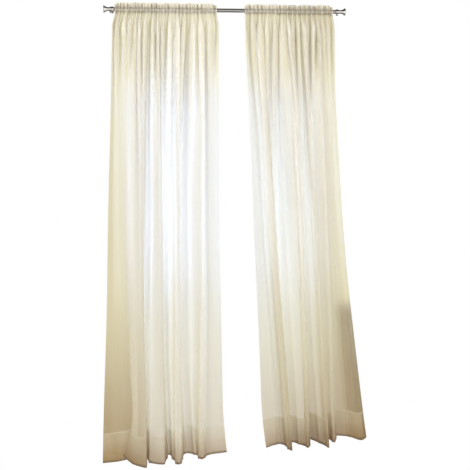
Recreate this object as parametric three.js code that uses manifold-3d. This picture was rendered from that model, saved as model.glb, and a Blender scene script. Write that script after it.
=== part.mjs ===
// A pair of sheer voile curtain panels, gathered by their rod pockets on a slim metal rod that two wall
// brackets hold. Millimetres. +Z is up and Z 0 is the rod's axis; +X runs along the rod; +Y points to the
// wall, whose face is Y 0.
import * as THREE from "three";
import { mergeVertices } from "three/addons/utils/BufferGeometryUtils.js";
import Module from "manifold-3d";

const wasm = await Module();
wasm.setup();

// ---- Driving dimensions -------------------------------------------------------------------------

const CLOTH_WIDTH = 1220; // each panel laid flat
const CLOTH_LENGTH = 2134; // heading's top to hem, finished
const HEADING_HEIGHT = 16.5; // the ruffle that stands above the pocket's upper seam
const POCKET_TOP = 10.5; // upper pocket seam, above the rod's axis
const POCKET_BOTTOM = -14; // lower pocket seam
const HEM_HEIGHT = 150; // the deep turned-up bottom hem
const CLOTH_THICKNESS = 1;
const HEM_THICKNESS = 1.8; // the hem's layers together

const ROD_OFFSET = 90; // rod's axis in front of the wall
const ROD_RADIUS = 8;
const ROD_WALL = 1;
const ROD_HALF_LENGTH = 501;
const BRACKET_X = 495.5; // each bracket's middle, either side of the rod's middle
const GAP = 0.4; // between pieces that touch

const HEADING_TOP = POCKET_TOP + HEADING_HEIGHT;
const HEM_Z = HEADING_TOP - CLOTH_LENGTH;
const WAIST_Z = -1000; // the level of the tables' waist columns
const KNEE_Z = -1800; // below this the hem's kicks and lifts grow

// ---- How the panels hang ------------------------------------------------------------------------
// One row for each turn of the cloth, from left to right. x is along the rod, and out is how far the cloth
// stands in front of the rod's axis. kick is the share of hemX that comes only below the knee, lift raises
// the hem's edge, and ripple scales the small folds that ride on this turn. topX is where the turn springs
// free just under the pocket, and pocketX gives the gathered pocket's ends.

const LEFT_PANEL = {
  name: "panel_left",
  pocketX: [-485, -50],
  gathers: 32,
  turns: [
    { topX: -497, waistX: -552, waistOut: 0, hemX: -618, hemOut: -4, kick: 0, lift: 0, ripple: 0.2 },
    { topX: -480, waistX: -518, waistOut: -16, hemX: -552, hemOut: -5, kick: 0, lift: 0, ripple: 0.2 },
    { topX: -452, waistX: -462, waistOut: -34, hemX: -474, hemOut: -22, kick: -16, lift: 0, ripple: 0.1 },
    { topX: -442, waistX: -440, waistOut: -18, hemX: -458, hemOut: -6, kick: -20, lift: 4, ripple: 0.1 },
    { topX: -418, waistX: -470, waistOut: 14, hemX: -518, hemOut: 22, kick: -62, lift: 45, ripple: 0.1 },
    { topX: -402, waistX: -440, waistOut: 44, hemX: -472, hemOut: 50, kick: -30, lift: 8, ripple: 0.3 },
    { topX: -386, waistX: -408, waistOut: 50, hemX: -414, hemOut: 80, kick: 0, lift: 0, ripple: 0.6 },
    { topX: -352, waistX: -390, waistOut: -38, hemX: -404, hemOut: -22, kick: 0, lift: 0, ripple: 0.8 },
    { topX: -328, waistX: -362, waistOut: 4, hemX: -398, hemOut: 26, kick: 0, lift: 0, ripple: 1 },
    { topX: -308, waistX: -318, waistOut: 50, hemX: -334, hemOut: 63, kick: 0, lift: 0, ripple: 0.8 },
    { topX: -270, waistX: -302, waistOut: -40, hemX: -297, hemOut: -26, kick: 0, lift: 0, ripple: 1 },
    { topX: -222, waistX: -238, waistOut: 50, hemX: -259, hemOut: 78, kick: 0, lift: 0, ripple: 1 },
    { topX: -172, waistX: -222, waistOut: -42, hemX: -211, hemOut: -22, kick: 0, lift: 0, ripple: 1 },
    { topX: -147, waistX: -168, waistOut: 2, hemX: -166, hemOut: 0, kick: 0, lift: 0, ripple: 1 },
    { topX: -121, waistX: -120, waistOut: 46, hemX: -142, hemOut: 50, kick: 0, lift: 0, ripple: 1 },
    { topX: -103, waistX: -104, waistOut: -26, hemX: -112, hemOut: 20, kick: 0, lift: 0, ripple: 0.8 },
    { topX: -74, waistX: -70, waistOut: 2, hemX: -62, hemOut: 9, kick: 6, lift: 0, ripple: 0.5 },
    { topX: -42, waistX: -41, waistOut: 0, hemX: -9, hemOut: 6, kick: 14, lift: 0, ripple: 0.4 },
  ],
};

const RIGHT_PANEL = {
  name: "panel_right",
  pocketX: [73, 472],
  gathers: 30,
  turns: [
    { topX: 70, waistX: 123, waistOut: 0, hemX: 193, hemOut: -2, kick: 16, lift: 0, ripple: 0.4 },
    { topX: 86, waistX: 158, waistOut: -14, hemX: 236, hemOut: -14, kick: 8, lift: 0, ripple: 0.5 },
    { topX: 112, waistX: 186, waistOut: -44, hemX: 280, hemOut: -20, kick: 0, lift: 0, ripple: 0.8 },
    { topX: 148, waistX: 214, waistOut: 46, hemX: 310, hemOut: 52, kick: 0, lift: 0, ripple: 1 },
    { topX: 200, waistX: 225, waistOut: -50, hemX: 317, hemOut: -60, kick: 0, lift: 0, ripple: 1 },
    { topX: 232, waistX: 270, waistOut: 10, hemX: 356, hemOut: -2, kick: 0, lift: 0, ripple: 1 },
    { topX: 254, waistX: 337, waistOut: 44, hemX: 402, hemOut: 34, kick: 0, lift: 0, ripple: 1 },
    { topX: 288, waistX: 349, waistOut: -52, hemX: 414, hemOut: -64, kick: 0, lift: 0, ripple: 1 },
    { topX: 310, waistX: 374, waistOut: 0, hemX: 462, hemOut: -8, kick: 0, lift: 0, ripple: 1 },
    { topX: 333, waistX: 411, waistOut: 46, hemX: 500, hemOut: 68, kick: 0, lift: 0, ripple: 1 },
    { topX: 373, waistX: 422, waistOut: -50, hemX: 512, hemOut: -62, kick: 0, lift: 0, ripple: 1 },
    { topX: 396, waistX: 468, waistOut: 34, hemX: 549, hemOut: 4, kick: 0, lift: 0, ripple: 0.8 },
    { topX: 419, waistX: 482, waistOut: -42, hemX: 580, hemOut: -46, kick: 0, lift: 0, ripple: 0.6 },
    { topX: 437, waistX: 512, waistOut: -12, hemX: 632, hemOut: -34, kick: 0, lift: 0, ripple: 0.3 },
    { topX: 463, waistX: 540, waistOut: 10, hemX: 694, hemOut: 18, kick: 0, lift: 0, ripple: 0.2 },
    { topX: 478, waistX: 562, waistOut: 0, hemX: 726, hemOut: -4, kick: 0, lift: 0, ripple: 0.2 },
  ],
};

// The small folds fade into broader ones on the way down: a band of each kind, with its period in gathers,
// its height against a gather's, where it comes in and where it has gone, measured below the rod's axis.
const RIPPLES = [
  { period: 1, height: 1, phase: Math.PI / 4, from: -1, full: 0, fade: 25, gone: 190, rest: 0 },
  { period: 2, height: 1.9, phase: 0.9, from: 15, full: 150, fade: 260, gone: 900, rest: 0 },
  { period: 4, height: 3.4, phase: 2.3, from: 120, full: 500, fade: 900, gone: 1900, rest: 0.3 },
];

// ---- The cloth's surface ------------------------------------------------------------------------

const TOP_ROWS = [HEADING_TOP, POCKET_TOP, 6.5, -6.5, POCKET_BOTTOM, -45, -100, -200];
const HEM_TOP = HEM_Z + HEM_HEIGHT;
const HEM_STEP = 3; // half the height over which the sheet thickens to the hem
const BODY_ROWS = [
  -200, -360, -600, -920, -1280, -1600, -1820, HEM_TOP + HEM_STEP, HEM_TOP - HEM_STEP, -2040, HEM_Z,
];
const TOP_COLUMNS = 4; // columns per gather in the top rows
const BODY_COLUMNS = 2; // and in the body's
const POCKET_CLEARANCE = 2; // from the rod to the pocket cloth's outer face, at least
const POCKET_RIPPLE = 0.62; // the gathers' depth in the filled pocket, against their depth when free
const POCKET_SWELL = 0.56; // how far the pocket stands off the rod, in gathers' depths
const POCKET_SPRING = 70; // the gathered cloth has spread to its free width this far below the axis
const GATHER_UNEVEN = 0.28; // how much the gathers differ in depth
const CALM_FROM = 60; // between these two depths each turn's own ripple scale comes in
const CALM_FULL = 350;
const DEEPEST_RIPPLE = 20;
const CLOSE_ENOUGH = 1e-6; // millimetres of that depth
const SHARPEST_CORNER = 0.45; // a fold's edge is no longer than the sheet's thickness over this
const HEADING_RAGGED = 2; // how unevenly the heading's top stands
const HEADING_DROOP = 7; // how far the heading sinks at its two ends
const DROOP_LENGTH = 16; // over this length of rod
const TIGHTEST_TURN = 0.35; // a corner is eased where the cosine between its two chords is smaller
const GREATEST_EASE = 0.2;
const EASE_ROUNDS = 6;
const EASE_FROM = 900; // the easing dies away between these two depths, where the folds are wide
const EASE_GONE = 1900;

const smooth = (from, to, value) => THREE.MathUtils.smoothstep(value, from, to);

// The parabola through the three levels of a turn.
function atDrop(top, waist, hem, drop) {
  const level = (POCKET_BOTTOM - WAIST_Z) / (POCKET_BOTTOM - HEM_Z);
  return (
    (top * (drop - level) * (drop - 1)) / level +
    (waist * drop * (drop - 1)) / (level * (level - 1)) +
    (hem * drop * (drop - level)) / (1 - level)
  );
}

// Where each turn of a panel lies across the cloth, from 0 to 1, by the hem's own length.
function turnShares(turns) {
  const shares = [0];
  for (let i = 1; i < turns.length; i++) {
    const step = Math.hypot(turns[i].hemX - turns[i - 1].hemX, turns[i].hemOut - turns[i - 1].hemOut);
    shares.push(shares[i - 1] + step);
  }
  return shares.map((length) => length / shares[shares.length - 1]);
}

// The share of the cloth at a column, so that each turn has a column of its own.
function shareAt(shares, column, columns) {
  const own = [];
  for (const share of shares) {
    const lowest = own.length ? own[own.length - 1] + 1 : 0;
    own.push(Math.max(Math.round(share * columns), lowest));
  }
  let i = 0;
  while (i < own.length - 2 && column > own[i + 1]) i++;
  return shares[i] + ((column - own[i]) / (own[i + 1] - own[i])) * (shares[i + 1] - shares[i]);
}

// A smooth curve through values at the given shares, level at each high and low, so that it never
// overshoots one.
function through(shares, values, share) {
  let i = 0;
  while (i < shares.length - 2 && share > shares[i + 1]) i++;
  const rise = (j) => (values[j + 1] - values[j]) / (shares[j + 1] - shares[j]);
  const slope = (j) => {
    if (j === 0) return rise(0);
    if (j === shares.length - 1) return rise(j - 1);
    const product = rise(j - 1) * rise(j);
    return product > 0 ? (2 * product) / (rise(j - 1) + rise(j)) : 0;
  };
  const span = shares[i + 1] - shares[i];
  const u = THREE.MathUtils.clamp((share - shares[i]) / span, 0, 1);
  const start = values[i] * (1 + 2 * u) * (1 - u) ** 2 + slope(i) * span * u * (1 - u) ** 2;
  const end = values[i + 1] * (3 - 2 * u) * u ** 2 - slope(i + 1) * span * (1 - u) * u ** 2;
  return start + end;
}

// The small folds at one place of the cloth, at one level, in gathers' heights.
function rippleAt(gathers, phase, below) {
  const uneven = 1 + GATHER_UNEVEN * Math.sin(31 * phase + 0.6) * Math.cos(13 * phase);
  return RIPPLES.reduce((sum, band) => {
    const faded = band.rest + (1 - band.rest) * (1 - smooth(band.fade, band.gone, below));
    const weight = smooth(band.from, band.full, below) * faded;
    const wave = Math.sin((2 * Math.PI * gathers * phase) / band.period + band.phase);
    return sum + weight * band.height * wave * uneven;
  }, 0);
}

// One level of a panel: {x, out, z} of each column, with the small folds deep enough that the row is as
// long as the cloth is wide.
function rowOf(panel, z, columns) {
  const shares = turnShares(panel.turns);
  const drop = Math.max(0, (POCKET_BOTTOM - z) / (POCKET_BOTTOM - HEM_Z));
  const knee = Math.max(0, (KNEE_Z - z) / (KNEE_Z - HEM_Z)) ** 2;
  const sprung = smooth(POCKET_TOP, POCKET_SPRING, -z);
  const [pocketStart, pocketEnd] = panel.pocketX;
  const first = panel.turns[0].topX;
  const last = panel.turns[panel.turns.length - 1].topX;
  const turnX = panel.turns.map((turn) => {
    const held = THREE.MathUtils.mapLinear(turn.topX, first, last, pocketStart, pocketEnd);
    const top = held + sprung * (turn.topX - held);
    return atDrop(top, turn.waistX, turn.hemX - turn.kick, drop) + turn.kick * knee;
  });
  const turnOut = panel.turns.map((turn) => atDrop(0, turn.waistOut, turn.hemOut, drop));
  const turnLift = panel.turns.map((turn) => turn.lift * knee);
  const calm = smooth(CALM_FROM, CALM_FULL, -z);
  const turnRipple = panel.turns.map((turn) => 1 + (turn.ripple - 1) * calm);

  const base = [];
  const bodyColumns = panel.gathers * BODY_COLUMNS;
  for (let i = 0; i <= columns; i++) {
    const phase = i / columns;
    const share = shareAt(shares, phase * bodyColumns, bodyColumns);
    base.push({
      x: through(shares, turnX, share),
      out: through(shares, turnOut, share),
      z: z + through(shares, turnLift, share),
      ripple: rippleAt(panel.gathers, phase, Math.max(0, -z)) * through(shares, turnRipple, share),
    });
  }
  const rowLength = (depth) =>
    base.slice(1).reduce((sum, b, i) => {
      const a = base[i];
      return sum + Math.hypot(b.x - a.x, b.out + depth * b.ripple - a.out - depth * a.ripple);
    }, 0);
  let depth = 0;
  for (let step = DEEPEST_RIPPLE / 2; step > CLOSE_ENOUGH; step /= 2) {
    if (rowLength(depth + step) < CLOTH_WIDTH) depth += step;
  }
  const row = base.map((b) => ({ x: b.x, z: b.z, out: b.out + depth * b.ripple, flat: b.out, depth }));
  return eased(row, GREATEST_EASE * (1 - smooth(EASE_FROM, EASE_GONE, -z)));
}

// The row with its tightest corners eased by a share of their depth, so that the sheet's two faces keep
// apart inside a fold.
function eased(row, share) {
  for (let round = 0; round < EASE_ROUNDS; round++) {
    for (let i = 1; i < row.length - 1; i++) {
      const [before, here, after] = row.slice(i - 1, i + 2);
      if (directionOf(before, here).dot(directionOf(here, after)) > TIGHTEST_TURN) continue;
      here.x += share * ((before.x + after.x) / 2 - here.x);
      here.out += share * ((before.out + after.out) / 2 - here.out);
    }
  }
  return row;
}

const directionOf = (from, to) => new THREE.Vector2(to.x - from.x, to.out - from.out).normalize();

// How far the heading's top edge stands above its level at a column.
function raggedAt(row, i) {
  const fromEnd = Math.min(row[i].x - row[0].x, row[row.length - 1].x - row[i].x);
  const droop = HEADING_DROOP * (1 - smooth(0, DROOP_LENGTH, fromEnd));
  return HEADING_RAGGED * Math.sin(0.35 * i) * Math.cos(0.083 * i + 1) - droop;
}

// The front and back faces of one row, as points in space.
function facesOf(row, z) {
  const inPocket = z < POCKET_TOP && z > POCKET_BOTTOM;
  const half = (z < HEM_TOP ? HEM_THICKNESS : CLOTH_THICKNESS) / 2;
  return row.map((c, i) => {
    if (inPocket) {
      const wave = (c.out - c.flat) * POCKET_RIPPLE;
      const core = ROD_RADIUS + POCKET_CLEARANCE + c.depth * POCKET_SWELL;
      const front = Math.max(core + wave, ROD_RADIUS + POCKET_CLEARANCE);
      const back = Math.min(wave - core, -ROD_RADIUS - POCKET_CLEARANCE);
      return [
        [c.x, -ROD_OFFSET - front, c.z],
        [c.x, -ROD_OFFSET - back, c.z],
      ];
    }
    const before = directionOf(row[Math.max(i - 1, 0)], row[Math.max(i, 1)]);
    const after = directionOf(row[Math.min(i, row.length - 2)], row[Math.min(i + 1, row.length - 1)]);
    const along = before.clone().add(after).normalize();
    const offset = half / Math.max(along.dot(before), SHARPEST_CORNER);
    const [x, out] = [offset * along.y, offset * along.x];
    const height = c.z + (z === HEADING_TOP ? raggedAt(row, i) : 0);
    return [
      [c.x - x, -ROD_OFFSET - c.out - out, height],
      [c.x + x, -ROD_OFFSET - c.out + out, height],
    ];
  });
}

// ---- Solids -------------------------------------------------------------------------------------

function solidOf(geometry) {
  const bare = new THREE.BufferGeometry();
  bare.setAttribute("position", geometry.getAttribute("position"));
  bare.setIndex(geometry.getIndex());
  const merged = mergeVertices(bare, 1e-4);
  return new wasm.Manifold(
    new wasm.Mesh({
      numProp: 3,
      vertProperties: merged.getAttribute("position").array,
      triVerts: new Uint32Array(merged.getIndex().array),
    }),
  );
}

function geometryOf(solid) {
  const mesh = solid.getMesh();
  const geometry = new THREE.BufferGeometry();
  geometry.setAttribute("position", new THREE.BufferAttribute(mesh.vertProperties, 3));
  geometry.setIndex(new THREE.BufferAttribute(mesh.triVerts, 1));
  return geometry;
}

// A box given by its lowest and highest corners.
function block(low, high) {
  const size = high.map((value, i) => value - low[i]);
  const middle = high.map((value, i) => (value + low[i]) / 2);
  return new THREE.BoxGeometry(...size).translate(...middle);
}

// A round bar along X.
function barAlongX(radius, from, to, sides) {
  return new THREE.CylinderGeometry(radius, radius, to - from, sides)
    .rotateZ(Math.PI / 2)
    .translate((from + to) / 2, -ROD_OFFSET, 0);
}

function named(name, geometry, material) {
  const mesh = new THREE.Mesh(geometry, material);
  mesh.name = name;
  return mesh;
}

// ---- Panels -------------------------------------------------------------------------------------

const TUNNEL_SPARE = 50; // how far the rod's tunnel is cut past the pocket's ends
const TUNNEL_SIDES = 16;

// The two faces of the rows joined into one closed sheet, with the rod's tunnel cut through its pocket.
function panelGeometry(panel) {
  const fine = panel.gathers * TOP_COLUMNS;
  const coarse = panel.gathers * BODY_COLUMNS;
  const rows = [
    ...TOP_ROWS.map((z) => facesOf(rowOf(panel, z, fine), z)),
    ...BODY_ROWS.slice(1).map((z) => facesOf(rowOf(panel, z, coarse), z)),
  ];
  const positions = [];
  const start = rows.map((row) => {
    const first = positions.length / 3;
    for (const [front, back] of row) positions.push(...front, ...back);
    return first;
  });
  const front = (r, c) => start[r] + 2 * c;
  const back = (r, c) => start[r] + 2 * c + 1;

  const faces = [];
  const quad = (a, b, c, d) => faces.push(a, b, c, a, c, d);
  for (let r = 0; r < rows.length - 1; r++) {
    const columns = rows[r + 1].length - 1;
    const halved = rows[r].length > rows[r + 1].length;
    for (let c = 0; c < columns; c++) {
      if (halved) {
        const u = 2 * c;
        faces.push(front(r, u), front(r + 1, c), front(r, u + 1));
        faces.push(front(r, u + 1), front(r + 1, c), front(r + 1, c + 1));
        faces.push(front(r, u + 1), front(r + 1, c + 1), front(r, u + 2));
        faces.push(back(r, u), back(r, u + 1), back(r + 1, c));
        faces.push(back(r, u + 1), back(r + 1, c + 1), back(r + 1, c));
        faces.push(back(r, u + 1), back(r, u + 2), back(r + 1, c + 1));
      } else {
        quad(front(r, c), front(r + 1, c), front(r + 1, c + 1), front(r, c + 1));
        quad(back(r, c), back(r, c + 1), back(r + 1, c + 1), back(r + 1, c));
      }
    }
    const last = rows[r].length - 1;
    quad(front(r, 0), back(r, 0), back(r + 1, 0), front(r + 1, 0));
    quad(front(r, last), front(r + 1, columns), back(r + 1, columns), back(r, last));
  }
  const bottom = rows.length - 1;
  for (let c = 0; c < fine; c++) quad(front(0, c), front(0, c + 1), back(0, c + 1), back(0, c));
  for (let c = 0; c < coarse; c++) {
    quad(front(bottom, c), back(bottom, c), back(bottom, c + 1), front(bottom, c + 1));
  }

  const cloth = new THREE.BufferGeometry();
  cloth.setAttribute("position", new THREE.Float32BufferAttribute(positions, 3));
  cloth.setIndex(faces);

  const [left, right] = panel.pocketX;
  const tunnelRadius = (ROD_RADIUS + GAP) / Math.cos(Math.PI / TUNNEL_SIDES);
  const tunnel = barAlongX(tunnelRadius, left - TUNNEL_SPARE, right + TUNNEL_SPARE, TUNNEL_SIDES);
  return geometryOf(solidOf(cloth).subtract(solidOf(tunnel)));
}

// ---- Rod, finials and brackets ------------------------------------------------------------------

const ROD_SIDES = 24;

// Each profile's rows run along its own axis, and radius is measured from that axis.
const FINIAL_PROFILE = [
  { along: 0, radius: 0 },
  { along: 0, radius: 8.6 },
  { along: 3.5, radius: 8.6 },
  { along: 5.5, radius: 7.6 },
  { along: 12, radius: 7.6 },
  { along: 18, radius: 8.8 },
  { along: 24, radius: 11.4 },
  { along: 29.3, radius: 15.5 },
  { along: 30.3, radius: 15.5 },
  { along: 31.1, radius: 14.3 },
  { along: 30.1, radius: 0 },
];

const SCREW_PROFILE = [
  { along: -6, radius: 0 },
  { along: -6, radius: 3.4 },
  { along: -5, radius: 4.2 },
  { along: -2.4, radius: 4.2 },
  { along: -1.8, radius: 2 },
  { along: 0, radius: 2 },
  { along: 0, radius: 0 },
];
const SCREW_SIDES = 16;

const RING = { width: 9, radius: 10.4, play: 0.5 }; // play is between the ring and the rod, all round
const ARM = { width: 7, height: 7, bite: 1 }; // bite is how far its ends run into the ring and the plate
const PLATE = { width: 18, bottom: -11, top: 15, thickness: 3 };
const HOLE = { radius: 2, levels: [-7.5, 10.5], sides: 16 };

const turned = (profile, sides) =>
  new THREE.LatheGeometry(
    profile.map((row) => new THREE.Vector2(row.radius, row.along)),
    sides,
  );

function rodGeometry() {
  const outside = barAlongX(ROD_RADIUS, -ROD_HALF_LENGTH, ROD_HALF_LENGTH, ROD_SIDES);
  const past = ROD_HALF_LENGTH + 1;
  const inside = barAlongX(ROD_RADIUS - ROD_WALL, -past, past, ROD_SIDES);
  return geometryOf(solidOf(outside).subtract(solidOf(inside)));
}

// A trumpet that lies along X, its neck against the rod's end. side is -1 at the left end and 1 at the
// right.
function finialGeometry(side) {
  return turned(FINIAL_PROFILE, ROD_SIDES)
    .rotateZ((-side * Math.PI) / 2)
    .translate(side * (ROD_HALF_LENGTH + GAP), -ROD_OFFSET, 0);
}

// A ring round the rod, an arm back to the wall and a plate with two screw holes, in one piece.
function bracketGeometry(x) {
  const ring = barAlongX(RING.radius, x - RING.width / 2, x + RING.width / 2, ROD_SIDES);
  const seat = barAlongX(ROD_RADIUS + RING.play, x - RING.width, x + RING.width, ROD_SIDES);
  const arm = block(
    [x - ARM.width / 2, -ROD_OFFSET + ROD_RADIUS + ARM.bite, -ARM.height / 2],
    [x + ARM.width / 2, -PLATE.thickness + ARM.bite, ARM.height / 2],
  );
  const plate = block(
    [x - PLATE.width / 2, -PLATE.thickness, PLATE.bottom],
    [x + PLATE.width / 2, 0, PLATE.top],
  );
  let bracket = solidOf(ring).add(solidOf(arm)).add(solidOf(plate)).subtract(solidOf(seat));
  for (const z of HOLE.levels) {
    const hole = new THREE.CylinderGeometry(HOLE.radius, HOLE.radius, 3 * PLATE.thickness, HOLE.sides);
    bracket = bracket.subtract(solidOf(hole.translate(x, 0, z)));
  }
  return geometryOf(bracket);
}

// The small screw under each ring that keeps the rod from turning.
function setScrewGeometry(x) {
  return turned(SCREW_PROFILE, SCREW_SIDES)
    .rotateX(Math.PI / 2)
    .translate(x, -ROD_OFFSET, -RING.radius - GAP);
}

// ---- The object ---------------------------------------------------------------------------------

const voile = new THREE.MeshStandardMaterial({ color: 0xf1ead6, roughness: 0.8, metalness: 0 });
const nickel = new THREE.MeshStandardMaterial({ color: 0xa7a3a1, roughness: 0.28, metalness: 1 });
const darkNickel = new THREE.MeshStandardMaterial({ color: 0x6d6966, roughness: 0.35, metalness: 1 });

const ENDS = [
  { name: "left", side: -1 },
  { name: "right", side: 1 },
];

const curtain = new THREE.Group();
for (const panel of [LEFT_PANEL, RIGHT_PANEL]) curtain.add(named(panel.name, panelGeometry(panel), voile));
curtain.add(named("rod", rodGeometry(), nickel));
for (const end of ENDS) {
  const bracketX = end.side * BRACKET_X;
  curtain.add(named(`finial_${end.name}`, finialGeometry(end.side), nickel));
  curtain.add(named(`bracket_${end.name}`, bracketGeometry(bracketX), nickel));
  curtain.add(named(`set_screw_${end.name}`, setScrewGeometry(bracketX), darkNickel));
}

export default curtain;
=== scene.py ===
"""Sheer voile curtain panels on a slim rod: cloth, stitching, metalwork, light and camera.

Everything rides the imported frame, in metres. +Z is up and Z 0 is the rod's axis, +X runs along the rod, and
+Y points to the wall.
"""

import math
import random

import bmesh
import bpy
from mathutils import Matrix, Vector


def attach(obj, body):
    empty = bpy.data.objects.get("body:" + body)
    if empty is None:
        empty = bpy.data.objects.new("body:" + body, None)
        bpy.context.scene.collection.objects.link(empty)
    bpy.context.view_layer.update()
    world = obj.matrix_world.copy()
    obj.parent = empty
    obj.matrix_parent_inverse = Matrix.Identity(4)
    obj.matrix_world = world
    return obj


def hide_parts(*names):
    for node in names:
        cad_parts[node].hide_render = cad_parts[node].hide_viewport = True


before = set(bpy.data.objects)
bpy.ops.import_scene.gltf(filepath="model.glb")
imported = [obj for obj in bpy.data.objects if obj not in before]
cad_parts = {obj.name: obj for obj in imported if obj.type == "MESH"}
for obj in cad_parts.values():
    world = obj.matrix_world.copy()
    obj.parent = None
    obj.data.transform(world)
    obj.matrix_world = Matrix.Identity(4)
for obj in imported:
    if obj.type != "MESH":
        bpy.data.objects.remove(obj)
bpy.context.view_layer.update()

MM = 0.001

# ---- Sizes, in millimetres ------------------------------------------------------------------------------

CLOTH_WIDTH = 1220
CLOTH_LENGTH = 2134
HEADING_HEIGHT = 16.5
POCKET_TOP = 10.5
POCKET_BOTTOM = -14
HEM_HEIGHT = 150
ROD_OFFSET = 90
ROD_RADIUS = 8
ROD_HALF_LENGTH = 501
BRACKET_X = 495.5
GAP = 0.4
HEADING_TOP = POCKET_TOP + HEADING_HEIGHT
HEM_Z = HEADING_TOP - CLOTH_LENGTH
HEM_TOP = HEM_Z + HEM_HEIGHT
WAIST_Z = -1000
KNEE_Z = -1800
TURN_IN = 3  # the cloth's raw edges stop this far past their seam

# ---- How the panels hang --------------------------------------------------------------------------------
# One row for each turn of the cloth, from left to right: where it springs free under the pocket, where it
# is at the waist and the hem, and how far it stands out from the rod's axis there; kick is the part of the
# hem's x that comes only below the knee, lift raises the hem's edge, ripple scales the small folds on it.

TURN_COLUMNS = ("top_x", "waist_x", "waist_out", "hem_x", "hem_out", "kick", "lift", "ripple")

LEFT_PANEL = {
    "name": "panel_left",
    "pocket_x": (-485, -50),
    "gathers": 32,
    "turns": (
        (-497, -552, 0, -618, -4, 0, 0, 0.2),
        (-480, -518, -16, -552, -5, 0, 0, 0.2),
        (-452, -462, -34, -474, -22, -16, 0, 0.1),
        (-442, -440, -18, -458, -6, -20, 4, 0.1),
        (-418, -470, 14, -518, 22, -62, 45, 0.1),
        (-402, -440, 44, -472, 50, -30, 8, 0.3),
        (-386, -408, 50, -414, 80, 0, 0, 0.6),
        (-352, -390, -38, -404, -22, 0, 0, 0.8),
        (-328, -362, 4, -398, 26, 0, 0, 1),
        (-308, -318, 50, -334, 63, 0, 0, 0.8),
        (-270, -302, -40, -297, -26, 0, 0, 1),
        (-222, -238, 50, -259, 78, 0, 0, 1),
        (-172, -222, -42, -211, -22, 0, 0, 1),
        (-147, -168, 2, -166, 0, 0, 0, 1),
        (-121, -120, 46, -142, 50, 0, 0, 1),
        (-103, -104, -26, -112, 20, 0, 0, 0.8),
        (-74, -70, 2, -62, 9, 6, 0, 0.5),
        (-42, -41, 0, -9, 6, 14, 0, 0.4),
    ),
}

RIGHT_PANEL = {
    "name": "panel_right",
    "pocket_x": (73, 472),
    "gathers": 30,
    "turns": (
        (70, 123, 0, 193, -2, 16, 0, 0.4),
        (86, 158, -14, 236, -14, 8, 0, 0.5),
        (112, 186, -44, 280, -20, 0, 0, 0.8),
        (148, 214, 46, 310, 52, 0, 0, 1),
        (200, 225, -50, 317, -60, 0, 0, 1),
        (232, 270, 10, 356, -2, 0, 0, 1),
        (254, 337, 44, 402, 34, 0, 0, 1),
        (288, 349, -52, 414, -64, 0, 0, 1),
        (310, 374, 0, 462, -8, 0, 0, 1),
        (333, 411, 46, 500, 68, 0, 0, 1),
        (373, 422, -50, 512, -62, 0, 0, 1),
        (396, 468, 34, 549, 4, 0, 0, 0.8),
        (419, 482, -42, 580, -46, 0, 0, 0.6),
        (437, 512, -12, 632, -34, 0, 0, 0.3),
        (463, 540, 10, 694, 18, 0, 0, 0.2),
        (478, 562, 0, 726, -4, 0, 0, 0.2),
    ),
}

# The small folds fade into broader ones on the way down: each band's period in gathers, its height against
# a gather's, its phase, where it comes in and where it has gone, measured below the rod's axis.
RIPPLE_COLUMNS = ("period", "height", "phase", "start", "full", "fade", "gone", "rest")
RIPPLES = (
    (1, 1, math.pi / 4, -1, 0, 25, 190, 0),
    (2, 1.9, 0.9, -60, 150, 260, 900, 0),
    (4, 3.4, 2.3, 120, 500, 900, 1900, 0.3),
)

POCKET_SPRING = 70  # this far below the rod's axis a turn has left its place in the pocket
GATHER_UNEVEN = 0.28  # how much the gathers differ in height
UNEVEN_WAVES = (31, 13)
UNEVEN_START = 0.6
CALM_SPAN = (60, 350)  # where each turn's own share of ripple takes over
DEEPEST_RIPPLE = 20
CLOSE_ENOUGH = 1e-4
COLUMNS_PER_GATHER = 12
BODY_COLUMNS = 2  # the turns sit on this coarser count of columns, as in the solids
PLEATS_TAKE = 60  # the cloth that the small pleats take up across a panel
PLEATS_TAKE_SPAN = (40, 200)


def named_rows(columns, rows):
    return [dict(zip(columns, row)) for row in rows]


def smooth(start, end, value):
    t = min(max((value - start) / (end - start), 0), 1)
    return t * t * (3 - 2 * t)


def at_drop(top, waist, hem, drop):
    """The parabola through the three levels of a turn."""
    level = (POCKET_BOTTOM - WAIST_Z) / (POCKET_BOTTOM - HEM_Z)
    return (
        top * (drop - level) * (drop - 1) / level
        + waist * drop * (drop - 1) / (level * (level - 1))
        + hem * drop * (drop - level) / (1 - level)
    )


def turn_shares(turns):
    """Where each turn lies across the cloth, from 0 to 1, by the hem's own length."""
    lengths = [0]
    for a, b in zip(turns, turns[1:]):
        lengths.append(lengths[-1] + math.hypot(b["hem_x"] - a["hem_x"], b["hem_out"] - a["hem_out"]))
    return [length / lengths[-1] for length in lengths]


def own_columns(shares, columns):
    own = []
    for share in shares:
        lowest = own[-1] + 1 if own else 0
        own.append(max(math.floor(share * columns + 0.5), lowest))
    return own


def share_at(shares, own, column):
    i = 0
    while i < len(own) - 2 and column > own[i + 1]:
        i += 1
    return shares[i] + (column - own[i]) / (own[i + 1] - own[i]) * (shares[i + 1] - shares[i])


def through(shares, values, share):
    """A smooth curve through the values, level at each high and low, so that it never overshoots one."""
    i = 0
    while i < len(shares) - 2 and share > shares[i + 1]:
        i += 1

    def rise(j):
        return (values[j + 1] - values[j]) / (shares[j + 1] - shares[j])

    def slope(j):
        if j == 0:
            return rise(0)
        if j == len(shares) - 1:
            return rise(j - 1)
        product = rise(j - 1) * rise(j)
        return 2 * product / (rise(j - 1) + rise(j)) if product > 0 else 0

    span = shares[i + 1] - shares[i]
    u = min(max((share - shares[i]) / span, 0), 1)
    begin = values[i] * (1 + 2 * u) * (1 - u) ** 2 + slope(i) * span * u * (1 - u) ** 2
    end = values[i + 1] * (3 - 2 * u) * u**2 - slope(i + 1) * span * (1 - u) * u**2
    return begin + end


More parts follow.
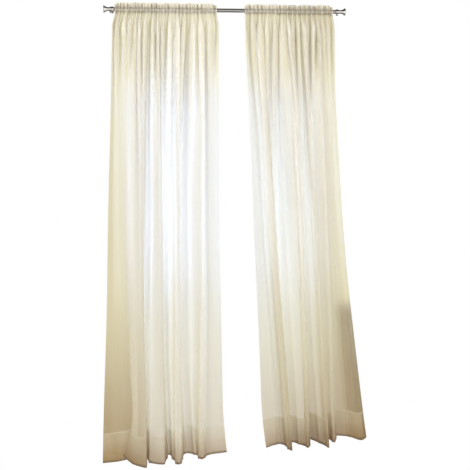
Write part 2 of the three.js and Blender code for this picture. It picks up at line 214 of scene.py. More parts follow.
def ripple_at(gathers, phase, below):
    """The small folds at one place of the cloth, in gathers' heights."""
    short, long = (turns * phase for turns in UNEVEN_WAVES)
    uneven = 1 + GATHER_UNEVEN * math.sin(short + UNEVEN_START) * math.cos(long)
    total = 0
    for band in named_rows(RIPPLE_COLUMNS, RIPPLES):
        faded = band["rest"] + (1 - band["rest"]) * (1 - smooth(band["fade"], band["gone"], below))
        weight = smooth(band["start"], band["full"], below) * faded
        wave = math.sin(2 * math.pi * gathers * phase / band["period"] + band["phase"])
        total += weight * band["height"] * wave * uneven
    return total


def row_of(panel, z):
    """One level of a panel, column by column: where the cloth is, and the path and ripple that made it."""
    turns = named_rows(TURN_COLUMNS, panel["turns"])
    shares = turn_shares(turns)
    drop = max(0, (POCKET_BOTTOM - z) / (POCKET_BOTTOM - HEM_Z))
    knee = max(0, (KNEE_Z - z) / (KNEE_Z - HEM_Z)) ** 2
    sprung = smooth(POCKET_TOP, POCKET_SPRING, -z)
    start, end = panel["pocket_x"]
    first, last = turns[0]["top_x"], turns[-1]["top_x"]

    def x_of(turn):
        held = start + (turn["top_x"] - first) / (last - first) * (end - start)
        top = held + sprung * (turn["top_x"] - held)
        return at_drop(top, turn["waist_x"], turn["hem_x"] - turn["kick"], drop) + turn["kick"] * knee

    turn_x = [x_of(turn) for turn in turns]
    turn_out = [at_drop(0, turn["waist_out"], turn["hem_out"], drop) for turn in turns]
    turn_lift = [turn["lift"] * knee for turn in turns]
    calm = smooth(*CALM_SPAN, -z)
    turn_ripple = [1 + (turn["ripple"] - 1) * calm for turn in turns]

    body_columns = panel["gathers"] * BODY_COLUMNS
    own = own_columns(shares, body_columns)
    columns = panel["gathers"] * COLUMNS_PER_GATHER
    base = []
    for i in range(columns + 1):
        phase = i / columns
        share = share_at(shares, own, phase * body_columns)
        folded = through(shares, turn_ripple, share)
        ripple = ripple_at(panel["gathers"], phase, max(0, -z)) * folded
        x, out, lift = (through(shares, values, share) for values in (turn_x, turn_out, turn_lift))
        base.append((x, out, z + lift, ripple, folded))

    def length(depth):
        return sum(
            math.hypot(b[0] - a[0], b[1] + depth * b[3] - a[1] - depth * a[3])
            for a, b in zip(base, base[1:])
        )

    wanted = CLOTH_WIDTH - PLEATS_TAKE * smooth(*PLEATS_TAKE_SPAN, -z)
    depth = 0
    step = DEEPEST_RIPPLE / 2
    while step > CLOSE_ENOUGH:
        if length(depth + step) < wanted:
            depth += step
        step /= 2
    return [
        {
            "x": x,
            "out": out + depth * ripple,
            "z": height,
            "flat": out,
            "depth": depth,
            "ripple": ripple,
            "folded": folded,
        }
        for x, out, height, ripple, folded in base
    ]


# ---- The cloth as one long sheet ------------------------------------------------------------------------
# It starts at its turned-in edge behind the rod, goes up to the heading's top, over and down the front to
# the hem's edge, and up behind the hem to its stitching.

BACK, FRONT, HEM_BACK = "back", "front", "hem back"

# The rows' levels, close together round the pocket and this step apart further down.
TOP_LEVELS = (23, 19, 15.5, 12.5, POCKET_TOP, 9, 7.5, 5.5, 3, 0, -3, -6, -9, -11.5, POCKET_BOTTOM, -16, -19)
UNDER_POCKET_LEVELS = (-24, -31, -40, -51, -64, -80)
BODY_STEP = 22
HEM_ROWS = 8
LAYER_GAP = 0.7  # between two layers of cloth that lie on each other
TINY = 1e-6

# The pocket, on the rod, and the stitching that holds its gathers.
POCKET_CLEARANCE = 1.0  # between the rod and the pocket's cloth
POCKET_RIPPLE = 0.62
POCKET_EASE = 4.5  # the cloth goes from its seam round the rod within this height
POCKET_EASE_BELOW = 11
BELOW_ROD = 0.9  # how nearly the pocket hangs straight below the axis, instead of hugging the rod
PINCH = 0.3  # how much the stitching flattens the gathers
PINCH_REACH = 3.5

# The ruffle above it.
HEADING_RAGGED = 2  # how uneven its edge is
RAGGED_WAVES = (0.35, 0.083)  # radians for every few columns
RAGGED_STEP = 3
HEADING_DROOP = 7  # how far its ends droop
DROOP_LENGTH = 16
SCALLOP = 1.2  # how far its crests stand up and its valleys down

# Wrinkles, puckers and sway. A wave has its radians across the panel and for each millimetre of height, and
# its share of the panel's seed.
CREASE = 0.7  # the wrinkles' height
FINE_WAVES = ((211, 0.031, 1), (97, -0.012, 2))
FINE_SPAN = (100, 900)
FINE_FADE = 0.6
LONG_WAVES = ((57, 0.0021, 1), (23, 0.0051, 0))
PUCKER = 1.3  # the height of the extra small gathers under the pocket's seam
PUCKER_START = 1.1
PUCKER_IN, PUCKER_OUT = (8, 26), (50, 130)  # below the rod's axis
SWAY = 1.4  # how far the fold lines wander from straight
SWAY_SPAN = (60, 600)
SWAY_WAVES = ((7, 0.0062, 1),)

# The small pleats that stay in the cloth, from one side of a panel to the other.
PLEAT_SPACING = (28, 62)  # of flat cloth, from one to the next
PLEAT_HEIGHT = (3.5, 11)
PLEAT_WIDTH = (5, 9)
PLEAT_SHARPNESS = 1.4
PLEAT_START = (20, 90)
PLEAT_DRIFT = 9  # how far one wanders across the cloth
PLEAT_TURN = (0, 6)
PLEAT_WANDER = 800  # of drop, for each radian of that
PLEAT_END = (-700, -1500)  # where the short ones have gone
NO_END = 3 * HEM_Z  # too low for the long ones to fade
SHORT_PLEATS = 0.3  # their share
DOUBLED_REACH = 1.5  # the cloth lies doubled this far out, in a pleat's widths
PLEAT_REACH = 3 * DOUBLED_REACH

# How the cloth lies in layers, which its colour and openness follow, and the painted shade and highlight in
# its
# colour: painted shade in the valleys of the gathers, in the creases between folds and in a dark line along
# the seam; a lighter tone where it lies double, on a pleat or at the hem's turned-in edge, and as a painted
# highlight on the ruffle's crests and the pocket's front; and closed to the light with that lighter tone and
# along the seam's dark line. Ripples are in gathers' heights.
VALLEY_START = 0.4  # of a gather
VALLEY_RIPPLE = (0.1, 1.0)
# Painted highlight on the ruffle's crests, between these ripples.
CREST_RIPPLE = (0.2, 1)
# How dark the painted shade is in a darker valley and in a lighter one.
DARK_VALLEY_SHADE, LIGHT_VALLEY_SHADE = (0.75, 1), (0, 0.3)
DARK_VALLEY_EVERY = (1, 2, 2, 3)  # gathers, from one dark painted valley shade to the next
VALLEY_PAINTED_SHADE = 0.8  # painted shade in a full valley
RUFFLE_IN = (1, 5)  # above the pocket's seam
RUFFLE_FADE = 0.5  # how much less painted shade the ruffle's edge gets
RUFFLE_FADE_START = 8
POCKET_PAINTED_SHADE = (0.65, 0.2)  # painted valley shade, above and below the rod's axis
# Painted highlight on the pocket's front, which also closes its gaps, above and below the rod's axis.
POCKET_DOUBLED_AND_HIGHLIGHT = (0.45, 1)
UNDER_POCKET_PAINTED_SHADE = 0.7  # painted valley shade under the pocket, less a share that goes between each two depths
PAINTED_SHADE_LOSSES = ((0.45, (20, 300)), (0.25, (400, 1000)))
SEAM_SHADE_LEVEL = 4.8  # painted shade: a dark line along the seam, where the cloth bends over the rod
SEAM_SHADE_REACH = 4.4
SEAM_PAINTED_SHADE = (0.74, 0.5)  # painted shade along that line everywhere, and more in a valley
DOUBLED_CLOSED = 0.8  # how much of the gaps between the yarns two layers close
HEM_LINE = 0.8  # the turned-in edge makes a denser line along the hem's stitching
HEM_LINE_REACH = 3.5
HEM_LINE_LEVELS = (7, 3.5, 0, -3.5, -7)
HEM_LINE_CLEAR = 2  # no other row comes nearer than this to the line's own
# Painted shade in the creases between folds, where the cloth lies back behind its neighbours.
RELIEF_REACH = 14  # columns each side, over which a crease is told from a ridge
RELIEF_DEPTH = (0, 9)
RELIEF_PAINTED_SHADE = 0.36
RELIEF_IN = (20, 60)
RELIEF_LOSS = 0.45
RELIEF_LOSS_SPAN = (200, 500)


def levels_down():
    start = UNDER_POCKET_LEVELS[-1]
    count = round((start - HEM_Z) / BODY_STEP)
    step = (start - HEM_Z) / count
    body = [start - step * (i + 1) for i in range(count)]
    spaced = [z for z in body if abs(z - HEM_TOP) > HEM_LINE_LEVELS[0] + HEM_LINE_CLEAR]
    at_hem_line = [HEM_TOP + z for z in HEM_LINE_LEVELS]
    return [*TOP_LEVELS, *UNDER_POCKET_LEVELS, *sorted([*spaced, *at_hem_line], reverse=True)]


def hem_levels():
    return [HEM_Z + (HEM_HEIGHT + TURN_IN) * i / HEM_ROWS for i in range(1, HEM_ROWS + 1)]


def layers():
    """The sheet's rows in order: which run of the cloth each belongs to, and its level."""
    below_top = [z for z in TOP_LEVELS if z >= POCKET_BOTTOM]
    back = [(BACK, POCKET_BOTTOM - TURN_IN), *((BACK, z) for z in reversed(below_top))]
    front = [(FRONT, z) for z in levels_down()]
    return [*back, (FRONT, HEADING_TOP), *front, *((HEM_BACK, z) for z in hem_levels())]


def pinch_at(z):
    near = min(abs(z - POCKET_TOP), abs(z - POCKET_BOTTOM))
    return 1 - PINCH * (1 - smooth(0, PINCH_REACH, near))


def waves_at(waves, seed, phase, z):
    product = 1
    for across, down, seeded in waves:
        product *= math.sin(across * phase + down * z + seeded * seed)
    return product


def small_wrinkles(seed, phase, z):
    """Small uneven creases, in millimetres: fine ones under the pocket and soft long ones lower down."""
    fine = waves_at(FINE_WAVES, seed, phase, z) * (1 - FINE_FADE * smooth(*FINE_SPAN, -z))
    return CREASE * (fine + waves_at(LONG_WAVES, seed, phase, z))


def pleats_of(panel):
    """The small pleats that the gathers leave in the cloth, one row each, from one side to the other."""
    chance = random.Random(panel["name"])
    pleats = []
    place = chance.uniform(*PLEAT_SPACING)
    while place < CLOTH_WIDTH - PLEAT_SPACING[0]:
        short = chance.random() < SHORT_PLEATS
        pleats.append(
            {
                "place": place,
                "height": chance.uniform(*PLEAT_HEIGHT),
                "width": chance.uniform(*PLEAT_WIDTH),
                "drift": chance.uniform(-PLEAT_DRIFT, PLEAT_DRIFT),
                "turn": chance.uniform(*PLEAT_TURN),
                "end": chance.uniform(*PLEAT_END) if short else NO_END,
            }
        )
        place += chance.uniform(*PLEAT_SPACING)
    return pleats


def valley_shades_of(panel):
    """How dark the painted shade in each gather's valley is, from 0 to 1."""
    chance = random.Random(panel["name"] + " valleys")
    valleys = []
    while len(valleys) < panel["gathers"] + 2:
        valleys.append(chance.uniform(*DARK_VALLEY_SHADE))
        valleys += [chance.uniform(*LIGHT_VALLEY_SHADE) for gather in range(chance.choice(DARK_VALLEY_EVERY) - 1)]
    return valleys


def pleats_at(pleats, phase, z):
    """How far the small pleats lift the cloth here, and how far it lies double in them, from 0 to 1."""
    total, doubled_and_highlight = 0, 0
    for pleat in pleats:
        drift = pleat["drift"] * math.sin(pleat["turn"] + z / PLEAT_WANDER)
        off = (phase * CLOTH_WIDTH - pleat["place"] - drift) / pleat["width"]
        if abs(off) > PLEAT_REACH:
            continue
        height = pleat["height"] * smooth(*PLEAT_START, -z) * smooth(pleat["end"], pleat["end"] / 2, z)
        total += height * math.exp(-(abs(off) ** PLEAT_SHARPNESS))
        doubled_and_highlight += height / PLEAT_HEIGHT[1] * math.exp(-(abs(off / DOUBLED_REACH) ** PLEAT_SHARPNESS))
    return total, min(1, doubled_and_highlight)


def pucker_at(gathers, phase, z):
    strength = smooth(*PUCKER_IN, -z) * (1 - smooth(*PUCKER_OUT, -z))
    return PUCKER * strength * math.sin(4 * math.pi * gathers * phase + PUCKER_START)


def sway_at(seed, phase, z):
    return SWAY * smooth(*SWAY_SPAN, -z) * waves_at(SWAY_WAVES, seed, phase, z)


# Where the painted dark shade line along the seam lies, from 0 to 1; the cloth is also closed to the light
# there.
def seam_shade_at(z):
    return math.exp(-(((z - SEAM_SHADE_LEVEL) / SEAM_SHADE_REACH) ** 2))


def painted_shade_at(panel, phase, z, ripple):
    """The painted shade here, from 0 to 1: in the valleys of the gathers and in a dark line along the seam.
    """
    gather = int(phase * panel["gathers"] + 1 - VALLEY_START)
    valley = smooth(*VALLEY_RIPPLE, -ripple) * panel["valleys"][gather]
    if z > POCKET_TOP:
        valley *= 1 - RUFFLE_FADE * smooth(POCKET_TOP + RUFFLE_FADE_START, HEADING_TOP, z)
    elif z > POCKET_BOTTOM:
        valley *= POCKET_PAINTED_SHADE[z <= 0]
    else:
        valley *= UNDER_POCKET_PAINTED_SHADE - sum(loss * smooth(*span, -z) for loss, span in PAINTED_SHADE_LOSSES)
    everywhere, in_valley = SEAM_PAINTED_SHADE
    return min(1, VALLEY_PAINTED_SHADE * valley + seam_shade_at(z) * (everywhere + in_valley * valley))


def ragged_at(row, i):
    from_end = min(row[i]["x"] - row[0]["x"], row[-1]["x"] - row[i]["x"])
    droop = HEADING_DROOP * (1 - smooth(0, DROOP_LENGTH, from_end))
    scallop = SCALLOP * min(max(row[i]["ripple"], -1), 1)
    short, long = (turns * i / RAGGED_STEP for turns in RAGGED_WAVES)
    return HEADING_RAGGED * math.sin(short) * math.cos(long + 1) + scallop - droop


def valleys_in(points):
    """How far each point of a row lies back from its neighbours, from 0 to 1."""
    sums = [0]
    for point in points:
        sums.append(sums[-1] + point.y)
    valleys = []
    for i, point in enumerate(points):
        low, high = max(0, i - RELIEF_REACH), min(len(points), i + RELIEF_REACH + 1)
        valleys.append(smooth(*RELIEF_DEPTH, point.y - (sums[high] - sums[low]) / (high - low)))
    return valleys


def layer_row(panel, layer, z):
    """One row: its points, in millimetres, and at each its painted shade, double cloth with painted
    highlight, and closing.
    """
    row = row_of(panel, z)
    seed = len(panel["name"])
    columns = len(row) - 1
    in_pocket = 0
    if POCKET_BOTTOM < z < POCKET_TOP:
        in_pocket = min(
            smooth(0, POCKET_EASE, POCKET_TOP - z),
            smooth(0, POCKET_EASE_BELOW, z - POCKET_BOTTOM),
        )
    around = math.sqrt(max(0, (ROD_RADIUS + POCKET_CLEARANCE) ** 2 - z * z))
    if z < 0:
        hanging = ROD_RADIUS + POCKET_CLEARANCE
        around += BELOW_ROD * (hanging - around) * (1 - smooth(ROD_RADIUS, -POCKET_BOTTOM, -z))
    side = {BACK: -1, FRONT: 1, HEM_BACK: -1}[layer]
    paired = layer != FRONT or z > POCKET_BOTTOM or z < HEM_TOP
    half_gap = LAYER_GAP / 2 if paired else 0
    in_ruffle = smooth(*RUFFLE_IN, z - POCKET_TOP)
    at_hem_line = HEM_LINE * math.exp(-(((z - HEM_TOP) / HEM_LINE_REACH) ** 2))
    points = []
    painted_shade = []
    doubled_and_highlight = []
    closed = []
    for i, c in enumerate(row):
        phase = i / columns
        before, after = row[max(i - 1, 0)], row[min(i + 1, columns)]
        along = Vector((after["x"] - before["x"], after["out"] - before["out"])).normalized()
        free = c["flat"] + (c["out"] - c["flat"]) * pinch_at(z)
        free += small_wrinkles(seed, phase, z) + pucker_at(panel["gathers"], phase, z)
        round_rod = side * (around + c["depth"] * POCKET_RIPPLE * max(0, 1 + side * c["ripple"]))
        out = free + in_pocket * (round_rod - free)
        pleat, twofold = pleats_at(panel["pleats"], phase, z)
        lift = side * half_gap + pleat * c["folded"] * (1 - in_pocket)
        x = c["x"] + sway_at(seed, phase, z) - lift * along.y
        out += lift * along.x
        height = c["z"]
        if z > POCKET_TOP:
            height += ragged_at(row, i) * (z - POCKET_TOP) / HEADING_HEIGHT
        points.append(Vector((x, -ROD_OFFSET - out, height)))
        painted_shade.append(painted_shade_at(panel, phase, z, c["ripple"]))
        # Painted highlight: the ruffle's crests and the pocket's front take the lighter tone of double cloth.
        painted_highlight = smooth(*CREST_RIPPLE, c["ripple"]) * in_ruffle
        painted_highlight += in_pocket * POCKET_DOUBLED_AND_HIGHLIGHT[z < 0] * (1 - seam_shade_at(z))
        doubled_and_highlight.append(min(1, max(twofold * c["folded"], painted_highlight, at_hem_line)))
        closed.append(max(DOUBLED_CLOSED * doubled_and_highlight[-1], seam_shade_at(z)))
    # Painted shade in the creases between folds, darker where the cloth lies back behind its neighbours.
    if z < POCKET_BOTTOM:
        shade = RELIEF_PAINTED_SHADE * smooth(*RELIEF_IN, -z) * (1 - RELIEF_LOSS * smooth(*RELIEF_LOSS_SPAN, -z))
        for i, valley in enumerate(valleys_in(points)):
            painted_shade[i] = min(1, painted_shade[i] + shade * valley)
    return points, painted_shade, doubled_and_highlight, closed


def cloth_panel(panel, material):
    """The panel's mesh, with its flat sizes as UVs, in metres."""
    made = [layer_row(panel, layer, z) for layer, z in layers()]
    rows = [row[0] for row in made]
    columns = len(rows[0]) - 1
    mesh = bpy.data.meshes.new(panel["name"] + "_cloth")
    bm = bmesh.new()
    grid = [[bm.verts.new(p * MM) for p in row] for row in rows]
    uv = bm.loops.layers.uv.new("cloth")
    down = [0]
    middle = columns // 2
    for a, b in zip(rows, rows[1:]):
        down.append(down[-1] + abs(a[middle].z - b[middle].z) + TINY)
    for r in range(len(rows) - 1):
        for c in range(columns):
            face = bm.faces.new((grid[r][c], grid[r + 1][c], grid[r + 1][c + 1], grid[r][c + 1]))
            face.smooth = True
            corners = ((r, c), (r + 1, c), (r + 1, c + 1), (r, c + 1))
            for loop, (rr, cc) in zip(face.loops, corners):
                loop[uv].uv = (cc / columns * CLOTH_WIDTH * MM, down[rr] * MM)
    bm.verts.index_update()
    bm.to_mesh(mesh)
    bm.free()
    shares = {
        "painted_shade": [value for row in made for value in row[1]],
        "doubled_and_highlight": [value for row in made for value in row[2]],
        "closed": [value for row in made for value in row[3]],
        "turned": [1 - abs(vertex.normal.y) for vertex in mesh.vertices],  # out of the wall's plane
    }
    for name, values in shares.items():
        mesh.attributes.new(name, "FLOAT", "POINT").data.foreach_set("value", values)
    piece = bpy.data.objects.new(panel["name"] + "_cloth", mesh)
    bpy.context.collection.objects.link(piece)
    mesh.materials.append(material)
    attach(piece, "root")
    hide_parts(panel["name"])
    return piece


# ---- Stitching ------------------------------------------------------------------------------------------

STITCH_LENGTH = 2.6
STITCH_PITCH = 3.4
STITCH_WIDTH = 0.45
SEAM_INSET = 0.5  # from the pocket's ends
SEAM_LEVELS = (POCKET_TOP - SEAM_INSET, POCKET_BOTTOM + SEAM_INSET, HEM_TOP)


def stitch_row(bm, points):
    """Short threads laid along a row of points, in millimetres, standing just in front of the cloth."""
    travelled = 0
    for a, b in zip(points, points[1:]):
        span = (b - a).length
        if span < TINY:
            continue
        along = (b - a) / span
        front = Vector((along.y, -along.x, 0))
        front = -front if front.y > 0 else front
        while travelled < span:
            start = a + along * travelled
            end = a + along * min(travelled + STITCH_LENGTH, span)
            half = Vector((0, 0, STITCH_WIDTH / 2))
            lift = front * (LAYER_GAP / 2 + STITCH_WIDTH / 2)
            ring = [
                bm.verts.new((p + lift + s) * MM)
                for p in (start, end)
                for s in (half, front * STITCH_WIDTH / 2, -half, -front * STITCH_WIDTH / 2)
            ]
            for k in range(4):
                bm.faces.new((ring[k], ring[(k + 1) % 4], ring[4 + (k + 1) % 4], ring[4 + k]))
            bm.faces.new(ring[:4][::-1])
            bm.faces.new(ring[4:])
            travelled += STITCH_PITCH
        travelled -= span


def stitching(panel, material):
    bm = bmesh.new()
    for z in SEAM_LEVELS:
        stitch_row(bm, layer_row(panel, FRONT, z)[0])
    mesh = bpy.data.meshes.new(panel["name"] + "_stitching")
    bm.normal_update()
    bm.to_mesh(mesh)
    bm.free()
    mesh.materials.append(material)
    piece = bpy.data.objects.new(panel["name"] + "_stitching", mesh)
    bpy.context.collection.objects.link(piece)
    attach(piece, "root")
    return piece


# ---- Metalwork ------------------------------------------------------------------------------------------

SEGMENTS = 64
SHARP = math.radians(32)  # edges bent more than this are drawn sharp
FINIAL_PROFILE = (  # along the rod from its end, and the radius
    (0, 0),
    (0, 8.2),
    (0.4, 8.6),
    (3.1, 8.6),
    (3.5, 8.3),
    (5.2, 7.7),
    (6, 7.6),
    (12, 7.6),
    (15, 8.05),
    (18, 8.8),
    (21, 9.9),
    (24, 11.4),
    (26.2, 12.8),
    (28, 14.2),
    (29.3, 15.4),
    (29.8, 15.55),
    (30.3, 15.5),
    (30.9, 14.9),
    (31, 14.3),
    (30.6, 12),
    (30.2, 6),
    (30.1, 0),
)
SCREW_PROFILE = (  # down from the ring, and the radius
    (0, 0),
    (0, 2),
    (1.8, 2),
    (2.1, 3.6),
    (2.6, 4.2),
    (4.8, 4.2),
    (5.6, 3.9),
    (6, 3.2),
    (6, 1.6),
    (5.3, 1.4),
    (5.3, 0),
)
GRIPS = 18  # ridges round the screw's head
GRIP_DEPTH = 0.05  # of its radius
GRIP_START, GRIP_END = 2.3, 5  # down from the ring
ROD_WALL = 1
ROD_EDGE = 0.3
RING_RADIUS = 10.4
RING_WIDTH = 9
RING_PLAY = 0.5
RING_EDGE = 0.5
ARM_SIZE = 7
ARM_BITE = 1  # how far the arm goes into the ring and into the plate
ARM_EDGE = 0.6
PLATE_WIDTH, PLATE_BOTTOM, PLATE_TOP, PLATE_THICKNESS = 18, -11, 15, 3
PLATE_CORNER = 2.5
PLATE_EDGE = 0.6
CORNER_STEPS = 8
BEVEL_STEPS = 3
HOLE_SEGMENTS = 24
HOLE_RADIUS = 2
HOLE_LEVELS = (-7.5, 10.5)


def finished(bm, name, node_name, material):
    """Closes a metal piece's making: normals, shading, material and what it rides on and replaces."""
    bmesh.ops.recalc_face_normals(bm, faces=bm.faces)
    for face in bm.faces:
        face.smooth = True
    for edge in bm.edges:
        edge.smooth = len(edge.link_faces) == 2 and edge.calc_face_angle() < SHARP
    mesh = bpy.data.meshes.new(name)
    bm.to_mesh(mesh)
    bm.free()
    mesh.materials.append(material)
    piece = bpy.data.objects.new(name, mesh)
    bpy.context.collection.objects.link(piece)
    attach(piece, "root")
    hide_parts(node_name)
    return piece


def spin(bm, profile, place, closed=False):
    """A turned form: place(along, a, b) puts a point of the profile, turned by an angle, in millimetres."""
    rings = []
    for along, radius in profile:
        turn = [2 * math.pi * k / SEGMENTS for k in range(SEGMENTS if radius else 1)]
        spots = [place(along, radius * math.cos(t), radius * math.sin(t)) for t in turn]
        rings.append([bm.verts.new(Vector(spot) * MM) for spot in spots])
    following = [*rings[1:], rings[0]] if closed else rings[1:]
    for a, b in zip(rings, following):
        for k in range(SEGMENTS):
            n = k + 1
            corners = (a[k % len(a)], a[n % len(a)], b[n % len(b)], b[k % len(b)])
            bm.faces.new(list(dict.fromkeys(corners)))


def along_x(start, side=1):
    return lambda along, a, b: (start + side * along, -ROD_OFFSET + a, b)


def make_rod(material):
    inner = ROD_RADIUS - ROD_WALL
    end, edge = ROD_HALF_LENGTH, ROD_EDGE
    profile = (
        (-end, inner),
        (-end, ROD_RADIUS - edge),
        (-end + edge, ROD_RADIUS),
        (end - edge, ROD_RADIUS),
        (end, ROD_RADIUS - edge),
        (end, inner),
    )
    bm = bmesh.new()
    spin(bm, profile, along_x(0), closed=True)
    finished(bm, "rod_tube", "rod", material)


def make_finial(side, name, material):
    bm = bmesh.new()
    spin(bm, FINIAL_PROFILE, along_x(side * (ROD_HALF_LENGTH + GAP), side))
    finished(bm, name + "_trumpet", name, material)


def make_set_screw(x, name, material):
    top = -RING_RADIUS - GAP

    def gripped(along, a, b):
        angle = math.atan2(b, a)
        head = 1 + GRIP_DEPTH * math.cos(GRIPS * angle) * (GRIP_START < along < GRIP_END)
        return x + a * head, -ROD_OFFSET + b * head, top - along

    bm = bmesh.new()
    spin(bm, SCREW_PROFILE, gripped)
    finished(bm, name + "_thumb", name, material)


def add_ring(bm, x):
    half, inner = RING_WIDTH / 2, ROD_RADIUS + RING_PLAY
    profile = (
        (-half, inner),
        (-half, RING_RADIUS - RING_EDGE),
        (-half + RING_EDGE, RING_RADIUS),
        (half - RING_EDGE, RING_RADIUS),
        (half, RING_RADIUS - RING_EDGE),
        (half, inner),
    )
    spin(bm, profile, along_x(x), closed=True)


def rounded(bm, edges, size):
    bmesh.ops.bevel(bm, geom=edges, offset=size * MM, segments=BEVEL_STEPS, affect="EDGES", profile=0.5)


def add_arm(bm, x):
    y_start = -ROD_OFFSET + ROD_RADIUS + ARM_BITE
    y_end = -PLATE_THICKNESS + ARM_BITE
    made = bmesh.ops.create_cube(bm, size=MM)["verts"]
    bmesh.ops.scale(bm, verts=made, vec=(ARM_SIZE, y_end - y_start, ARM_SIZE))
    bmesh.ops.translate(bm, verts=made, vec=Vector((x, (y_start + y_end) / 2, 0)) * MM)
    edges = {edge for vert in made for edge in vert.link_edges}
    rounded(bm, list(edges), ARM_EDGE)


def loop_of(bm, points):
    verts = [bm.verts.new(Vector(point) * MM) for point in points]
    return [bm.edges.new((a, b)) for a, b in zip(verts, [*verts[1:], verts[0]])]


def add_plate(bm, x):
    """A plate with rounded corners and two screw holes, with its back on the wall."""
    half = PLATE_WIDTH / 2 - PLATE_CORNER
    corners = (
        (half, PLATE_TOP - PLATE_CORNER, 0),
        (-half, PLATE_TOP - PLATE_CORNER, 90),
        (-half, PLATE_BOTTOM + PLATE_CORNER, 180),
        (half, PLATE_BOTTOM + PLATE_CORNER, 270),
    )
    outline = []
    for cx, cz, first in corners:
        for k in range(CORNER_STEPS + 1):
            t = math.radians(first + 90 * k / CORNER_STEPS)
            outline.append((x + cx + PLATE_CORNER * math.cos(t), 0, cz + PLATE_CORNER * math.sin(t)))
    edges = loop_of(bm, outline)
    for level in HOLE_LEVELS:
        turn = [2 * math.pi * k / HOLE_SEGMENTS for k in range(HOLE_SEGMENTS)]
        hole = [(x + HOLE_RADIUS * math.cos(t), 0, level + HOLE_RADIUS * math.sin(t)) for t in turn]
        edges += loop_of(bm, hole)
    flat = bmesh.ops.triangle_fill(bm, edges=edges, use_beauty=True)["geom"]
    faces = [item for item in flat if isinstance(item, bmesh.types.BMFace)]
    front = bmesh.ops.extrude_face_region(bm, geom=faces, use_keep_orig=True)["geom"]
    verts = [item for item in front if isinstance(item, bmesh.types.BMVert)]
    bmesh.ops.translate(bm, verts=verts, vec=(0, -PLATE_THICKNESS * MM, 0))
    chosen = set(verts)
    rim = [
        edge
        for edge in {edge for vert in verts for edge in vert.link_edges}
        if set(edge.verts) <= chosen and edge.calc_face_angle(0) > SHARP
    ]
    rounded(bm, rim, PLATE_EDGE)


def make_bracket(x, name, material):
    bm = bmesh.new()
    add_ring(bm, x)
    add_arm(bm, x)
    add_plate(bm, x)
    finished(bm, name + "_metal", name, material)


# ---- Materials ------------------------------------------------------------------------------------------


def new_material(name):
    material = bpy.data.materials.new(name)
    material.use_nodes = True
    nodes = material.node_tree.nodes
    nodes.clear()
    return material, nodes, material.node_tree.links


def node(nodes, kind, **settings):
    made = nodes.new(kind)
    for key, value in settings.items():
        setattr(made, key, value)
    return made


def feed(links, sockets, values):
    """Sets each socket to its value, or links the two where the value comes from a node."""
    for socket, value in zip(sockets, values):
        if isinstance(value, bpy.types.NodeSocket):
            links.new(value, socket)
        else:
            socket.default_value = value


def math_node(nodes, links, operation, a, b):
    made = node(nodes, "ShaderNodeMath", operation=operation)
    feed(links, made.inputs, (a, b))
    return made.outputs[0]


def blend(nodes, links, share, a, b):
    """The colour a where share is 0 and b where it is 1."""
    made = node(nodes, "ShaderNodeMix", data_type="RGBA")
    feed(links, (made.inputs[name] for name in ("Factor", "A", "B")), (share, a, b))
    return made.outputs["Result"]


def ramp(nodes, links, value, start, end, lowest=0, highest=1):
    """The lowest before start, the highest after end, smooth between."""
    made = node(nodes, "ShaderNodeMapRange", interpolation_type="SMOOTHSTEP")
    links.new(value, made.inputs["Value"])
    made.inputs["From Min"].default_value = start
    made.inputs["From Max"].default_value = end
    made.inputs["To Min"].default_value = lowest
    made.inputs["To Max"].default_value = highest
    return made.outputs[0]


def pick(nodes, links, choice, no, yes):
    """The shader no where choice is 0 and yes where it is 1."""
    made = node(nodes, "ShaderNodeMixShader")
    feed(links, made.inputs, (choice, no, yes))
    return made.outputs[0]


def stretched(nodes, links, place, amounts):
    """The place with each axis scaled, so that a texture on it is drawn out along one of them."""
    made = node(nodes, "ShaderNodeVectorMath", operation="MULTIPLY")
    feed(links, made.inputs, (place, amounts))
    return made.outputs[0]


def noise(nodes, links, place=None, scale=1, detail=2):
    made = node(nodes, "ShaderNodeTexNoise")
    made.inputs["Scale"].default_value = scale
    made.inputs["Detail"].default_value = detail
    if place:
        links.new(place, made.inputs["Vector"])
    return made.outputs[0]


def relief(nodes, links, height, strength, depth):
    made = node(nodes, "ShaderNodeBump")
    made.inputs["Strength"].default_value = strength
    made.inputs["Distance"].default_value = depth
    links.new(height, made.inputs["Height"])
    return made.outputs[0]


def layering(nodes, name):
    """One of the shares that the cloth's mesh carries, point by point."""
    return node(nodes, "ShaderNodeAttribute", attribute_name=name).outputs["Fac"]


def surface(nodes, links, shader):
    output = node(nodes, "ShaderNodeOutputMaterial")
    links.new(shader, output.inputs[0])


IVORY = (0.90, 0.872, 0.805, 1)
IVORY_SHADE = (0.87, 0.835, 0.75, 1)
# Painted shade with a warm floor bounce: the cloth turns tan towards the bottom of the sheet.
TAN_PAINTED_SHADE = (0.70, 0.60, 0.48, 1)
TAN_PAINTED_SHADE_BAND = (1.6, 2.2)  # metres down the sheet, over which the painted shade comes in
TAN_PAINTED_SHADE_SHARE = 0.3
PAINTED_SHADE_TONE = (0.29, 0.23, 0.14, 1)  # painted shade deep in the gathers, in the creases between folds and along the seam's dark line
DOUBLED_AND_HIGHLIGHT_TONE = (0.97, 0.945, 0.89, 1)  # lighter where the cloth lies double on a pleat or at the hem's turned-in edge, and painted highlight on the ruffle's crests and the pocket's front
DOUBLED_AND_HIGHLIGHT_SHARE = 0.75
HEM_EDGE_PAINTED_SHADE_TONE = (0.48, 0.30, 0.14, 1)  # painted shade with a warm floor bounce, brown towards the hem's edge
HEM_EDGE_PAINTED_SHADE = 0.52
HEM_EDGE_PAINTED_SHADE_BAND = (0.13, 0.0)  # metres from the edge
EDGE_AT = (HEADING_TOP - POCKET_BOTTOM + TURN_IN + CLOTH_LENGTH) * MM  # down the sheet
YARN_PITCH = 0.55 * MM
SLUB_STRETCH = (1400, 30, 1)
SLUB_GAPS = (0.8, 0.6)  # how much the slubs change the gaps, and the least that they leave
